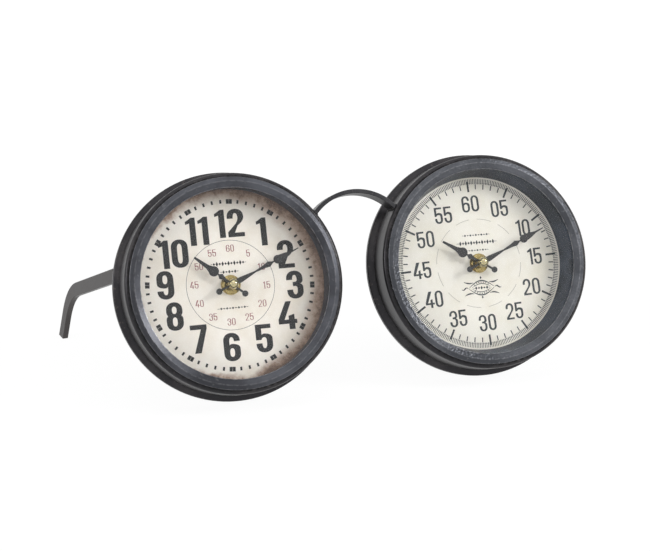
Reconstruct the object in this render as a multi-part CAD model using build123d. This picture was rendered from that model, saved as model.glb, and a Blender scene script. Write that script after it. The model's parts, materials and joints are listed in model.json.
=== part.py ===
from build123d import *
import os
from math import acos, cos, pi, radians, sin, tan

# Table clock shaped like a pair of spectacles. Two round metal clocks are the lenses, an arched
# strip is the bridge, and two bent bars are the temples, whose ends are the rear feet.
# Millimetres, +Z up, +X to the viewer's right. The dials face -Y and lean back.
# The origin is on the table, under the middle of the whole object.
# Each clock is modelled in its own frame: x to the right, y up the dial, z towards the viewer,
# with z = 0 on the dial's printed face and the hands' axis at x = y = 0.
# The bridge and the temples use the same directions, from the middle between the two dials.

# Whole object
centre_distance = 220.4
lean_angle = 22.4

# Case drum, a spun steel shell with a rolled foot rim behind
drum_radius = 92.0
drum_wall = 1.4
drum_front = 20.6
shoulder_radius = 3.6
waist_z = -6.4
waist_rise = 1.6
waist_depth = 1.8
cove_length = 2.2
cove_rounding = 1.8
flare_rise = 3.2
rim_reach = 4.8
rim_width = 5.1
rim_rounding = 1.6
seat_step = 2.2
seat_depth = 0.8

# Front bezel, a pressed ring whose skirt goes into the drum's mouth
bezel_inset = 3.7
bezel_rise = 1.8
band_width = 3.9
band_rise = 1.6
bevel_width = 5.2
bevel_drop = 2.2
lip_thickness = 0.9
bezel_rounding = 0.9
skirt_inset = 1.2
skirt_wall = 1.2
skirt_depth = 8.6
mouth_gap = 0.2

# Glass and spacer ring
glass_thickness = 2.0
glass_gap = 0.2
spacer_gap = 0.3
spacer_inset = 1.4

# Dial and its board
dial_thickness = 0.3
board_thickness = 1.6
board_gap = 0.4

# Retaining brackets, each a channel between the board and the back cover
bracket_count = 3
bracket_angle = 30.0
bracket_width = 12.0
bracket_metal = 1.2
bracket_reach = 9.0

# Back cover and its screws
cover_thickness = 1.0
cover_gap = 0.2
cover_window_gap = 0.6
screw_inset = 5.0
screw_radius = 1.4
screw_hole_gap = 0.2
screw_head_radius = 2.9
screw_head_height = 1.7
screw_length = 5.0

# Movement housing
housing_side = 56.0
housing_corner = 5.0
housing_wall = 1.4
housing_floor = 1.0
housing_depth = 15.5
housing_split = 7.3
washer_thickness = 0.8
rubber_radius = 9.0

# Battery bay in the lower part of the housing
battery_radius = 7.1
battery_length = 49.0
battery_nub_radius = 2.75
battery_nub_length = 1.5
battery_drop = 17.4
battery_play = 0.1
bay_gap = 0.5
bay_wall = 0.8
contact_metal = 0.4
contact_width = 8.0
contact_height = 9.0

# Motion work: the arbor turns once an hour and drives the hour wheel at a twelfth
pinion_teeth = 10
minute_wheel_teeth = 30
minute_module = 0.5
hour_pinion_teeth = 8
hour_wheel_teeth = 32
pressure_angle = 25.0
tooth_addendum = 0.8
tooth_dedendum = 1.05
tooth_play = 0.16
setting_tooth_steps = 20
hour_wheel_face = 1.2
minute_wheel_face = 1.2
pinion_face = 1.8
end_gap = 0.2
layer_gap = 0.6
running_gap = 0.06
pivot_radius = 0.6
pivot_length = 0.5
pivot_end_gap = 0.1
arbor_radius = 1.0
pipe_radius = 2.6
plate_thickness = 0.8
plate_half_width = 24.0
plate_corner = 2.0
plate_bottom = -8.0
plate_top = 25.0
pillar_radius = 1.6
pillar_inset = 2.2

# Setting knob at the back
knob_radius = 7.2
knob_thickness = 2.6
knob_stem_radius = 1.5
knob_pocket_gap = 0.6
knob_pocket_depth = 2.2
knob_pocket_wall = 1.0
knob_notches = 8
knob_notch_radius = 1.1

# Coil and circuit board behind the plate
coil_length = 17.0
coil_radius = 2.6
coil_flange_radius = 3.1
coil_flange_width = 1.0
coil_x = -13.0
coil_y = 15.0
circuit_width = 13.0
circuit_height = 11.0
circuit_thickness = 1.0
circuit_x = 15.0
circuit_y = -1.0
chip_radius = 2.8
chip_thickness = 1.0

# Threaded bush, washer and nut that clamp the movement to the dial
bush_radius = 3.9
bush_flange_radius = 5.4
bush_flange_thickness = 0.4
bush_front = 5.2
flat_washer_radius = 8.4
flat_washer_thickness = 0.5
nut_across_flats = 14.0
nut_height = 2.8
nut_chamfer_rise = 0.6

# Hands
hand_thickness = 0.6
hand_waist = 0.7
tail_length = 13.3
tail_ball_radius = 2.6
tail_half_width = 0.9
hour_hand_z = 6.0
hour_collet_radius = 3.7
hour_collet_back = 5.4
hour_collet_front = 7.2
hour_flare_at = 11.5
hour_flare = 2.5
hour_bulb_at = 18.8
hour_bulb_radius = 4.3
hour_hand_length = 38.8
minute_hand_z = 9.2
minute_collet_radius = 3.4
minute_collet_back = 8.1
minute_collet_front = 10.2
minute_slim_at = 22.0
minute_flare_at = 35.0
minute_flare = 2.4
minute_bulb_at = 43.6
minute_bulb_radius = 3.6
minute_hand_length = 64.0
cap_radius = 4.4
cap_height = 5.2
cap_skirt = 1.0
left_minute_angle = 66.5
left_hour_angle = 310.0
right_minute_angle = 66.7
right_hour_angle = 302.2

# Bridge strip
bridge_radius = 48.5
bridge_rise = 22.2
bridge_thickness = 3.6
bridge_back = 0.5
bridge_front = 17.0
bridge_edge_rounding = 0.7

# Temple arms
arm_height = 17.6
arm_width = 11.9
arm_thickness = 5.0
arm_inset = 2.5
arm_splay = 8.1
arm_straight = 120.0
arm_bend_radius = 68.0
arm_bend_angle = 43.6
arm_edge_rounding = 0.6

# Values that follow from the sizes above
cove_radius = drum_radius - waist_depth
rim_radius = drum_radius + rim_reach
bezel_radius = drum_radius - bezel_inset
ridge_radius = bezel_radius - band_width
lip_radius = ridge_radius - bevel_width
skirt_bore_radius = ridge_radius - skirt_inset
spacer_bore_radius = lip_radius + spacer_inset
mouth_radius = skirt_bore_radius + skirt_wall + mouth_gap
wall_bore_radius = drum_radius - drum_wall
cove_bore_radius = cove_radius - drum_wall
rim_bore_radius = cove_bore_radius + seat_step
bezel_edge = drum_front + bezel_rise
ridge_z = bezel_edge + band_rise
lip_front = ridge_z - bevel_drop
waist_end_z = waist_z - waist_rise
cove_back = waist_end_z - cove_length
rim_front = cove_back - flare_rise
rim_back = rim_front - rim_width
cover_seat_z = rim_front - seat_depth
lip_back = lip_front - lip_thickness
glass_back = lip_back - glass_thickness
spacer_radius = skirt_bore_radius - spacer_gap
board_radius = cove_bore_radius - board_gap
board_back = -dial_thickness - board_thickness
cover_back = cover_seat_z - cover_thickness
screw_circle = cove_bore_radius - screw_inset
housing_front = board_back - washer_thickness
floor_z = housing_front - housing_floor
split_z = housing_front - housing_split
housing_back = housing_front - housing_depth
inner_side = housing_side - 2 * housing_wall
battery_z = floor_z - battery_radius - battery_play
battery_reach = (battery_length + battery_nub_length) / 2
bay_top = -battery_drop + battery_radius + bay_gap
bay_bottom = -battery_drop - battery_radius - bay_gap
gear_distance = minute_module * (pinion_teeth + minute_wheel_teeth) / 2
hour_module = 2 * gear_distance / (hour_pinion_teeth + hour_wheel_teeth)
minute_tooth_turn = 360.0 / minute_wheel_teeth
hour_layer = floor_z - bush_flange_thickness - end_gap - hour_wheel_face
hour_layer_front = hour_layer + hour_wheel_face
minute_layer = hour_layer - layer_gap - minute_wheel_face
minute_layer_front = minute_layer + minute_wheel_face
pinion_low = minute_layer - (pinion_face - minute_wheel_face) / 2
plate_front = pinion_low - end_gap
plate_rear = plate_front - plate_thickness
arbor_top = minute_collet_front + cap_skirt
setting_direction = 270.0 + minute_tooth_turn / 2 - setting_tooth_steps * minute_tooth_turn
setting_x = gear_distance * cos(radians(setting_direction))
setting_y = gear_distance + gear_distance * sin(radians(setting_direction))
knob_pocket_floor = housing_back + knob_pocket_depth
knob_front = knob_pocket_floor - end_gap


def turned(points, radii):
    """Revolve a closed outline of (radius, z) points with a rounding for each corner."""
    outline = FilletPolyline(*[(r, 0, z) for r, z in points], radius=radii, close=True)
    return revolve(make_face(outline), axis=Axis.Z)


def plate(sketch, low, high):
    """A flat sketch made solid between two heights."""
    return Pos(0, 0, low) * extrude(sketch, amount=high - low)


def disc(radius, low, high):
    """A plain disc between two heights."""
    return plate(Circle(radius), low, high)


def ring(outer, inner, low, high):
    """A flat ring between two radii and two heights."""
    return plate(Circle(outer) - Circle(inner), low, high)


def involute(angle):
    """The involute function of an angle in radians."""
    return tan(angle) - angle


def gear_sketch(teeth, module, finely=False):
    """A gear's outline with a tooth centred on +x; a fine one bends at its base and pitch circles."""
    pitch_radius = module * teeth / 2
    base_radius = pitch_radius * cos(radians(pressure_angle))
    tip_radius = pitch_radius + tooth_addendum * module
    root_radius = pitch_radius - tooth_dedendum * module
    half_at_base = pi / (2 * teeth) * (1 - tooth_play) + involute(radians(pressure_angle))
    radii = [root_radius, tip_radius]
    if finely:
        radii[1:1] = [base_radius, pitch_radius]
    flank = []
    for radius in radii:
        half = half_at_base - involute(acos(min(1.0, base_radius / radius)))
        flank.append((radius, half))
    points = []
    for tooth in range(teeth):
        centre = 2 * pi * tooth / teeth
        points += [(r * cos(centre - half), r * sin(centre - half)) for r, half in flank]
        points += [(r * cos(centre + half), r * sin(centre + half)) for r, half in reversed(flank)]
    return make_face(Polyline(*points, close=True))


def make_case_drum():
    """The shell: mouth, rounded shoulder, straight wall, waist, cove and rolled foot rim."""
    outline = [
        (mouth_radius, drum_front),
        (drum_radius, drum_front),
        (drum_radius, waist_z),
        (cove_radius, waist_end_z),
        (cove_radius, cove_back),
        (rim_radius, rim_front),
        (rim_radius, rim_back),
        (rim_bore_radius, rim_back),
        (rim_bore_radius, cover_seat_z),
        (cove_bore_radius, cover_seat_z),
        (cove_bore_radius, waist_end_z + drum_wall),
        (wall_bore_radius, waist_z + drum_wall),
        (wall_bore_radius, drum_front - drum_wall),
        (mouth_radius, drum_front - drum_wall),
    ]
    rounding = [0, shoulder_radius, 0, 0, cove_rounding, rim_rounding, rim_rounding]
    return turned(outline, rounding + [0] * (len(outline) - len(rounding)))


def make_front_bezel():
    """The ring in front: inner bevel up to the ridge, sloping band and the skirt behind it."""
    skirt_radius = skirt_bore_radius + skirt_wall
    skirt_back = drum_front - skirt_depth
    outline = [
        (lip_radius, lip_back),
        (lip_radius, lip_front),
        (ridge_radius, ridge_z),
        (bezel_radius, bezel_edge),
        (bezel_radius, drum_front),
        (skirt_radius, drum_front),
        (skirt_radius, skirt_back),
        (skirt_bore_radius, skirt_back),
        (skirt_bore_radius, lip_back),
    ]
    return turned(outline, [0, 0, bezel_rounding, bezel_rounding, 0, 0, 0, 0, 0])


def make_bracket():
    """One channel: its front flange holds the board and its rear flange takes a screw."""
    inner = cove_bore_radius - bracket_reach
    web = cove_bore_radius - bracket_metal
    outline = [
        (inner, 0, board_back),
        (drum_radius, 0, board_back),
        (drum_radius, 0, cover_seat_z),
        (inner, 0, cover_seat_z),
        (inner, 0, cover_seat_z + bracket_metal),
        (web, 0, cover_seat_z + bracket_metal),
        (web, 0, board_back - bracket_metal),
        (inner, 0, board_back - bracket_metal),
    ]
    channel = extrude(make_face(Polyline(*outline, close=True)), amount=bracket_width / 2, both=True)
    hole = Pos(screw_circle, 0, 0) * disc(screw_radius, cover_seat_z, cover_seat_z + bracket_metal)
    return (channel & disc(cove_bore_radius, cover_seat_z, board_back)) - hole


def around_case(piece):
    """The copies of a piece at every bracket's place."""
    step = 360.0 / bracket_count
    return [Rot(0, 0, bracket_angle + step * number) * piece for number in range(bracket_count)]


def make_back_cover():
    """The rear disc with a window for the movement and a hole for each screw."""
    side = housing_side + 2 * cover_window_gap
    sketch = Circle(rim_bore_radius - cover_gap) - RectangleRounded(side, side, housing_corner)
    for hole in around_case(Pos(screw_circle, 0) * Circle(screw_radius + screw_hole_gap)):
        sketch -= hole
    return plate(sketch, cover_back, cover_seat_z)


def make_screw():
    """A cheese-head screw through the cover into a bracket."""
    head = disc(screw_head_radius, cover_back - screw_head_height, cover_back)
    return Pos(screw_circle, 0, 0) * (head + disc(screw_radius, cover_back, cover_back + screw_length))


def housing_tray(open_z, floor, closed_z):
    """A rounded square tray between its open edge and its closed face."""
    low, high = sorted((open_z, closed_z))
    inner_low, inner_high = sorted((open_z, floor))
    tray = plate(RectangleRounded(housing_side, housing_side, housing_corner), low, high)
    cavity = RectangleRounded(inner_side, inner_side, housing_corner - housing_wall)
    return tray - plate(cavity, inner_low, inner_high)


def bay_partition(low, high):
    """The wall between the battery bay and the wheels."""
    width = inner_side + housing_wall
    return plate(Pos(0, bay_top + bay_wall / 2) * Rectangle(width, bay_wall), low, high)


def make_movement_base():
    """The front tray, with the partition and the pillars that carry the train plate."""
    shell = housing_tray(split_z, floor_z, housing_front) + bay_partition(split_z, floor_z)
    for x in (-plate_half_width + pillar_inset, plate_half_width - pillar_inset):
        for y in (plate_bottom + pillar_inset, plate_top - pillar_inset):
            shell += Pos(x, y, 0) * disc(pillar_radius, plate_front, floor_z)
    shell -= disc(bush_radius, floor_z, housing_front)
    pivot_hole = disc(pivot_radius + running_gap, floor_z, floor_z + pivot_length + pivot_end_gap)
    for x, y in ((0, gear_distance), (setting_x, setting_y)):
        shell -= Pos(x, y, 0) * pivot_hole
    return shell


def make_movement_cover():
    """The rear tray, open over the battery bay, with a sunk cup for the setting knob."""
    back_floor = housing_back + housing_wall
    shell = housing_tray(split_z, back_floor, housing_back) + bay_partition(back_floor, split_z)
    bay = Pos(0, (bay_top + bay_bottom) / 2) * Rectangle(inner_side, bay_top - bay_bottom)
    shell -= plate(bay, housing_back, back_floor)
    cup_top = knob_pocket_floor + knob_pocket_wall
    pocket_radius = knob_radius + knob_pocket_gap
    at_knob = Pos(setting_x, setting_y, 0)
    shell += at_knob * disc(pocket_radius + knob_pocket_wall, back_floor, cup_top)
    shell -= at_knob * disc(pocket_radius, housing_back, knob_pocket_floor)
    return shell - at_knob * disc(knob_stem_radius + running_gap, knob_pocket_floor, cup_top)


def make_train_plate():
    """The plate that carries the rear pivots and lets the knob's stem through."""
    height = plate_top - plate_bottom
    middle_y = (plate_top + plate_bottom) / 2
    sketch = Pos(0, middle_y) * RectangleRounded(2 * plate_half_width, height, plate_corner)
    sketch -= Circle(pivot_radius + running_gap)
    sketch -= Pos(0, gear_distance) * Circle(pivot_radius + running_gap)
    sketch -= Pos(setting_x, setting_y) * Circle(knob_stem_radius + running_gap)
    return plate(sketch, plate_rear, plate_front)


def make_motor_coil():
    """The motor coil: a wound bobbin between two flanges, lying on the train plate."""
    end = coil_length / 2
    winding_end = end - coil_flange_width
    outline = [
        (0, -end),
        (coil_flange_radius, -end),
        (coil_flange_radius, -winding_end),
        (coil_radius, -winding_end),
        (coil_radius, winding_end),
        (coil_flange_radius, winding_end),
        (coil_flange_radius, end),
        (0, end),
    ]
    bobbin = turned(outline, [0] * len(outline))
    return Pos(coil_x, coil_y, plate_rear - coil_flange_radius) * Rot(0, 90, 0) * bobbin


def make_circuit_board():
    """The small circuit board with its drive chip, flat on the train plate."""
    board_rear = plate_rear - circuit_thickness
    board = plate(Rectangle(circuit_width, circuit_height), board_rear, plate_rear)
    chip = disc(chip_radius, board_rear - chip_thickness, board_rear)
    return Pos(circuit_x, circuit_y, 0) * (board + chip)


def make_battery():
    """A round cell lying across the bay, its positive nub to the right."""
    outline = [
        (0, 0),
        (battery_radius, 0),
        (battery_radius, battery_length),
        (battery_nub_radius, battery_length),
        (battery_nub_radius, battery_length + battery_nub_length),
        (0, battery_length + battery_nub_length),
    ]
    cell = turned(outline, [0] * len(outline))
    return Pos(-battery_reach, -battery_drop, battery_z) * Rot(0, 90, 0) * cell


def make_contact():
    """One folded leaf: it lies on the housing's wall and its free side presses the cell's end."""
    wall_x = inner_side / 2
    top = contact_height / 2
    outline = [
        (wall_x, 0, -top),
        (wall_x, 0, top),
        (battery_reach, 0, top),
        (battery_reach, 0, -top),
        (battery_reach + contact_metal, 0, -top),
        (battery_reach + contact_metal, 0, top - contact_metal),
        (wall_x - contact_metal, 0, top - contact_metal),
        (wall_x - contact_metal, 0, -top),
    ]
    leaf = extrude(make_face(Polyline(*outline, close=True)), amount=contact_width / 2, both=True)
    return Pos(0, -battery_drop, battery_z) * leaf


def make_minute_arbor():
    """The arbor with its pinion, a rear pivot and a front end for the minute hand."""
    body = disc(arbor_radius, pinion_low, arbor_top) + disc(pivot_radius, plate_rear, pinion_low)
    pinion = Rot(0, 0, 90) * gear_sketch(pinion_teeth, minute_module, finely=True)
    return body + plate(pinion, pinion_low, pinion_low + pinion_face)


def make_minute_wheel():
    """The intermediate wheel and pinion on one pivoted arbor, above the centre."""
    wheel = Rot(0, 0, 270.0 + minute_tooth_turn / 2) * gear_sketch(minute_wheel_teeth, minute_module)
    pinion = Rot(0, 0, 270) * gear_sketch(hour_pinion_teeth, hour_module, finely=True)
    body = plate(wheel, minute_layer, minute_layer_front)
    body += plate(pinion, minute_layer_front, hour_layer_front)
    body += disc(pivot_radius, plate_rear, floor_z + pivot_length)
    return Pos(0, gear_distance, 0) * body


def make_hour_wheel():
    """The hour wheel and the pipe that carries the hour hand through the bush."""
    wheel = Rot(0, 0, 90.0 + 180.0 / hour_wheel_teeth) * gear_sketch(hour_wheel_teeth, hour_module)
    body = plate(wheel, hour_layer, hour_layer_front)
    body += disc(pipe_radius, hour_layer, hour_collet_front)
    return body - disc(arbor_radius + running_gap, hour_layer, hour_collet_front)


def make_setting_knob():
    """The notched knob with its stem and the pinion that meshes with the minute wheel."""
    notched = Circle(knob_radius)
    for step in range(knob_notches):
        notched -= Rot(0, 0, 360.0 * step / knob_notches) * Pos(knob_radius, 0) * Circle(knob_notch_radius)
    turn = setting_direction + 180.0 + 180.0 / pinion_teeth
    pinion = Rot(0, 0, turn) * gear_sketch(pinion_teeth, minute_module, finely=True)
    body = plate(notched, knob_front - knob_thickness, knob_front)
    body += disc(knob_stem_radius, knob_front, pinion_low)
    body += plate(pinion, pinion_low, pinion_low + pinion_face)
    body += disc(pivot_radius, pinion_low, floor_z + pivot_length)
    return Pos(setting_x, setting_y, 0) * body


def make_bush():
    """The bush: a flange inside the housing and the barrel that the nut goes on."""
    flange_back = floor_z - bush_flange_thickness
    body = disc(bush_radius, flange_back, bush_front) + disc(bush_flange_radius, flange_back, floor_z)
    return body - disc(pipe_radius + running_gap, flange_back, bush_front)


def make_nut():
    """The hexagon nut, with its corners turned down at both faces."""
    low = flat_washer_thickness
    high = low + nut_height
    flat_radius = nut_across_flats / 2
    corner_radius = flat_radius / cos(pi / 6)
    cone = [
        (0, low),
        (flat_radius, low),
        (corner_radius, low + nut_chamfer_rise),
        (corner_radius, high - nut_chamfer_rise),
        (flat_radius, high),
        (0, high),
    ]
    prism = plate(RegularPolygon(corner_radius, 6), low, high)
    return (prism & turned(cone, [0] * len(cone))) - disc(bush_radius, low, high)


def blade(outline):
    """A symmetric flat shape up the y axis from pairs of distance and half width."""
    right = [(half, distance) for distance, half in outline]
    left = [(-half, distance) for distance, half in reversed(outline)]
    return make_face(Polyline(*right, *left, close=True))


def hand_tail():
    """The tail that both hands have: a thin bar with a ball at its end."""
    bar = Pos(0, -tail_length / 2) * Rectangle(2 * tail_half_width, tail_length)
    return bar + Pos(0, -tail_length) * Circle(tail_ball_radius)


def make_hour_hand():
    """The short hand: neck, flared collar, round bulb and a blunt tapering tip."""
    bulb_start = hour_bulb_at - hour_bulb_radius
    neck = [
        (0, 1.6 * hand_waist),
        (0.65 * hour_flare_at, 1.4 * hand_waist),
        (hour_flare_at, hour_flare),
        (bulb_start - hand_waist, hand_waist),
        (hour_bulb_at, hand_waist),
    ]
    tip = [
        (hour_bulb_at, 0.9 * hour_bulb_radius),
        (hour_bulb_at + 0.7 * hour_bulb_radius, 0.7 * hour_bulb_radius),
        (hour_bulb_at + 1.5 * hour_bulb_radius, 0.42 * hour_bulb_radius),
        (hour_hand_length, 1.2 * hand_waist),
    ]
    bulb = Pos(0, hour_bulb_at) * Circle(hour_bulb_radius)
    sketch = Circle(hour_collet_radius) + hand_tail() + blade(neck) + bulb + blade(tip)
    hand = plate(sketch, hour_hand_z, hour_hand_z + hand_thickness)
    hand += disc(hour_collet_radius, hour_collet_back, hour_collet_front)
    return hand - disc(pipe_radius, hour_collet_back, hour_collet_front)


def make_minute_hand():
    """The long hand: slim neck, flared collar, narrow waist and a pear blade with a long tip."""
    bulb_start = minute_bulb_at - minute_bulb_radius
    neck = [
        (0, 3.4 * hand_waist),
        (0.36 * minute_slim_at, 3.3 * hand_waist),
        (minute_slim_at, hand_waist),
        (0.88 * minute_flare_at, 2.1 * hand_waist),
        (minute_flare_at, minute_flare),
        (bulb_start - 2 * hand_waist, hand_waist),
        (minute_bulb_at, hand_waist),
    ]
    tip = [
        (minute_bulb_at, 0.9 * minute_bulb_radius),
        (minute_bulb_at + 0.7 * minute_bulb_radius, 0.8 * minute_bulb_radius),
        (minute_bulb_at + 2.1 * minute_bulb_radius, 0.58 * minute_bulb_radius),
        (minute_bulb_at + 3.5 * minute_bulb_radius, 1.1 * hand_waist),
        (minute_hand_length, 0.5 * hand_waist),
    ]
    bulb = Pos(0, minute_bulb_at) * Circle(minute_bulb_radius)
    sketch = Circle(minute_collet_radius) + hand_tail() + blade(neck) + bulb + blade(tip)
    hand = plate(sketch, minute_hand_z, minute_hand_z + hand_thickness)
    hand += disc(minute_collet_radius, minute_collet_back, minute_collet_front)
    return hand - disc(arbor_radius, minute_collet_back, minute_collet_front)


def make_hand_cap():
    """The domed cap on the arbor's end."""
    low = minute_collet_front
    high = low + cap_height
    bulge = (0.74 * cap_radius, 0, low + cap_skirt + 0.66 * (cap_height - cap_skirt))
    walls = Polyline((cap_radius, 0, low + cap_skirt), (cap_radius, 0, low), (0, 0, low), (0, 0, high))
    dome = ThreePointArc((0, 0, high), bulge, (cap_radius, 0, low + cap_skirt))
    return revolve(make_face(walls + dome), axis=Axis.Z) - disc(arbor_radius, low, arbor_top)


def make_clock(minute_angle, hour_angle):
    """Every piece of one clock in the clock's own frame, by name."""
    return {
        "case_drum": make_case_drum(),
        "front_bezel": make_front_bezel(),
        "glass_lens": disc(skirt_bore_radius - glass_gap, glass_back, lip_back),
        "spacer_ring": ring(spacer_radius, spacer_bore_radius, 0, glass_back),
        "dial_face": ring(spacer_radius, bush_radius, -dial_thickness, 0),
        "dial_board": ring(board_radius, bush_radius, board_back, -dial_thickness),
        "retaining_brackets": Compound(around_case(make_bracket())),
        "back_cover": make_back_cover(),
        "cover_screws": Compound(around_case(make_screw())),
        "movement_base": make_movement_base(),
        "movement_cover": make_movement_cover(),
        "train_plate": make_train_plate(),
        "motor_coil": make_motor_coil(),
        "circuit_board": make_circuit_board(),
        "battery": make_battery(),
        "battery_contacts": Compound([make_contact(), mirror(make_contact(), about=Plane.YZ)]),
        "rubber_washer": ring(rubber_radius, bush_radius, housing_front, board_back),
        "threaded_bush": make_bush(),
        "flat_washer": ring(flat_washer_radius, bush_radius, 0, flat_washer_thickness),
        "hex_nut": make_nut(),
        "minute_arbor": make_minute_arbor(),
        "minute_wheel": make_minute_wheel(),
        "hour_wheel": make_hour_wheel(),
        "setting_knob": make_setting_knob(),
        "hour_hand": Rot(0, 0, -hour_angle) * make_hour_hand(),
        "minute_hand": Rot(0, 0, -minute_angle) * make_minute_hand(),
        "hand_cap": make_hand_cap(),
    }


def make_bridge():
    """The strip: an arch bent to one radius, cut to seat on both drums."""
    arch = Circle(bridge_radius) - Circle(bridge_radius - bridge_thickness)
    upper_half = Pos(0, bridge_radius) * Rectangle(2 * bridge_radius, 2 * bridge_radius)
    strip = Pos(0, bridge_rise, 0) * plate(arch & upper_half, bridge_back, bridge_front)
    front_edges = strip.faces().sort_by(Axis.Z)[-1].edges().filter_by(GeomType.CIRCLE)
    strip = fillet(front_edges, bridge_edge_rounding)
    for side in (-1, 1):
        strip -= Pos(side * centre_distance / 2, 0, 0) * disc(drum_radius, bridge_back, bridge_front)
    return strip


def make_arm(side):
    """One temple: a flat bar from the rim's rear face, bent down behind, its foot still uncut."""
    bend = radians(arm_bend_angle)
    leg = 2 * arm_straight
    start = Vector(0, arm_height, arm_thickness)
    turn_start = Vector(0, arm_height, -arm_straight)
    turn_middle = turn_start + arm_bend_radius * Vector(0, cos(bend / 2) - 1, -sin(bend / 2))
    turn_end = turn_start + arm_bend_radius * Vector(0, cos(bend) - 1, -sin(bend))
    leg_end = turn_end + leg * Vector(0, -sin(bend), -cos(bend))
    bent = ThreePointArc(turn_start, turn_middle, turn_end)
    path = Line(start, turn_start) + bent + Line(turn_end, leg_end)
    section = RectangleRounded(arm_thickness, arm_width, arm_edge_rounding)
    bar = sweep(Plane(origin=start, x_dir=(1, 0, 0), z_dir=(0, 0, -1)) * section, path=path)
    outset = centre_distance / 2 + rim_radius - arm_inset - arm_thickness / 2
    return Pos(side * outset, 0, rim_back) * Rot(0, side * -arm_splay, 0) * bar


def leaning(x):
    """The plane of a dial, or of the whole front, at a distance to the right of the middle."""
    lean = radians(lean_angle)
    return Plane(origin=(x, 0, 0), x_dir=(1, 0, 0), z_dir=(0, -cos(lean), sin(lean)))


placed = {"bridge_strip": leaning(0) * make_bridge()}
for name, side, minute_angle, hour_angle in (
    ("left", -1, left_minute_angle, left_hour_angle),
    ("right", 1, right_minute_angle, right_hour_angle),
):
    for piece, shape in make_clock(minute_angle, hour_angle).items():
        placed[name + "_" + piece] = leaning(side * centre_distance / 2) * shape

# The rims stand on the table, and the temples are cut off level with it and at the rims
table_z = placed["left_case_drum"].bounding_box().min.Z
reach = 4 * centre_distance
below_table = Pos(0, 0, table_z - reach / 2) * Box(reach, reach, reach)
before_rims = leaning(0) * plate(Rectangle(reach, reach), rim_back, rim_back + reach)
for name, side in (("left", -1), ("right", 1)):
    placed[name + "_temple_arm"] = leaning(0) * make_arm(side) - below_table - before_rims

boxes = [shape.bounding_box() for shape in placed.values()]
middle_y = (min(box.min.Y for box in boxes) + max(box.max.Y for box in boxes)) / 2
origin_shift = Pos(0, -middle_y, -table_z)

os.makedirs("parts", exist_ok=True)
for name, shape in placed.items():
    export_step(origin_shift * shape, "parts/" + name + ".step")
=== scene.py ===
"""Looks of the spectacles table clock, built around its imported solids. Lengths are millimetres."""

import json
import logging
import math
from dataclasses import dataclass
from enum import Enum
from functools import cache

import bmesh
import bpy
from mathutils import Matrix, Vector

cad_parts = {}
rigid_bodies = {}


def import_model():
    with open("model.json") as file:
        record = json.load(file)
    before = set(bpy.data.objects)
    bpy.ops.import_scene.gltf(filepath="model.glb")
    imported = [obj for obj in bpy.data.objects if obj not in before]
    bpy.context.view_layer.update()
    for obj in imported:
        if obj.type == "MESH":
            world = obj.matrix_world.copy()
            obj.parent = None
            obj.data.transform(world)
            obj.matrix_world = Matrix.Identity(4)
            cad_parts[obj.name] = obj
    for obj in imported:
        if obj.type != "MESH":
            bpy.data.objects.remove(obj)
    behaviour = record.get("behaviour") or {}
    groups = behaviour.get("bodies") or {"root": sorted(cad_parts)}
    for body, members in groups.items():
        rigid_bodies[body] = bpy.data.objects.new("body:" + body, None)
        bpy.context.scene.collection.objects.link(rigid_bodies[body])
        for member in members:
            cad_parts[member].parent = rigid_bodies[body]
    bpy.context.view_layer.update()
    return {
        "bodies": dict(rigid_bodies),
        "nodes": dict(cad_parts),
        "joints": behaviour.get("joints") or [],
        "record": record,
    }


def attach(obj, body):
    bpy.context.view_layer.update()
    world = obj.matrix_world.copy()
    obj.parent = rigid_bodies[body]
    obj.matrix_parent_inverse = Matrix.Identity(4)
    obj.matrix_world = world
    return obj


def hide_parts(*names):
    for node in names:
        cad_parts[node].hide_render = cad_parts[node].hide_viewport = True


MM = 0.001
FRAME_WIDTH_PX = 650
FOCAL_PX = 1800.0
SENSOR_MM = 36.0
INK_HEIGHT = 0.05
CURVE_STEPS = 6
MERGE_DISTANCE = 0.001
COAT_ROUGHNESS = 0.18
BUMP_DISTANCE_M = 0.0006
MINUTE_DEGREES = 6
ARC_STEP_DEGREES = 2.5
ROUND = 2 * math.pi
WHITE = (1.0, 1.0, 1.0, 1.0)
log = logging.getLogger("table_clock")

Colour = tuple[float, float, float]
Place = tuple[float, float, float]
Ring = tuple[float, float, float, float]
Range = tuple[float, ...]
Spot = tuple[float, float]
Loop = list[Spot]
Socket = bpy.types.NodeSocket
Tree = bpy.types.NodeTree
Material = bpy.types.Material
Mesh = bpy.types.Mesh
Piece = bpy.types.Object


class Side(Enum):
    """The two clocks, with the words that begin their nodes' names."""

    LEFT = "left"
    RIGHT = "right"


class Gloss(Enum):
    """How far a surface scatters what it reflects."""

    WET = 0.06
    POLISHED = 0.22
    SATIN = 0.36
    DULL = 0.55
    MATT = 0.85


def shade(red: float, green: float, blue: float) -> tuple[float, float, float, float]:
    """A colour read off a screen, 0 to 255, as linear light.

    Args:
        red, green, blue: The screen's values.

    Returns:
        Linear red, green, blue and an alpha of 1.
    """
    shares = [value / 255 for value in (red, green, blue)]
    linear = [((v + 0.055) / 1.055) ** 2.4 if v > 0.0404 else v / 12.92 for v in shares]
    return (*linear, 1.0)


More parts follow.
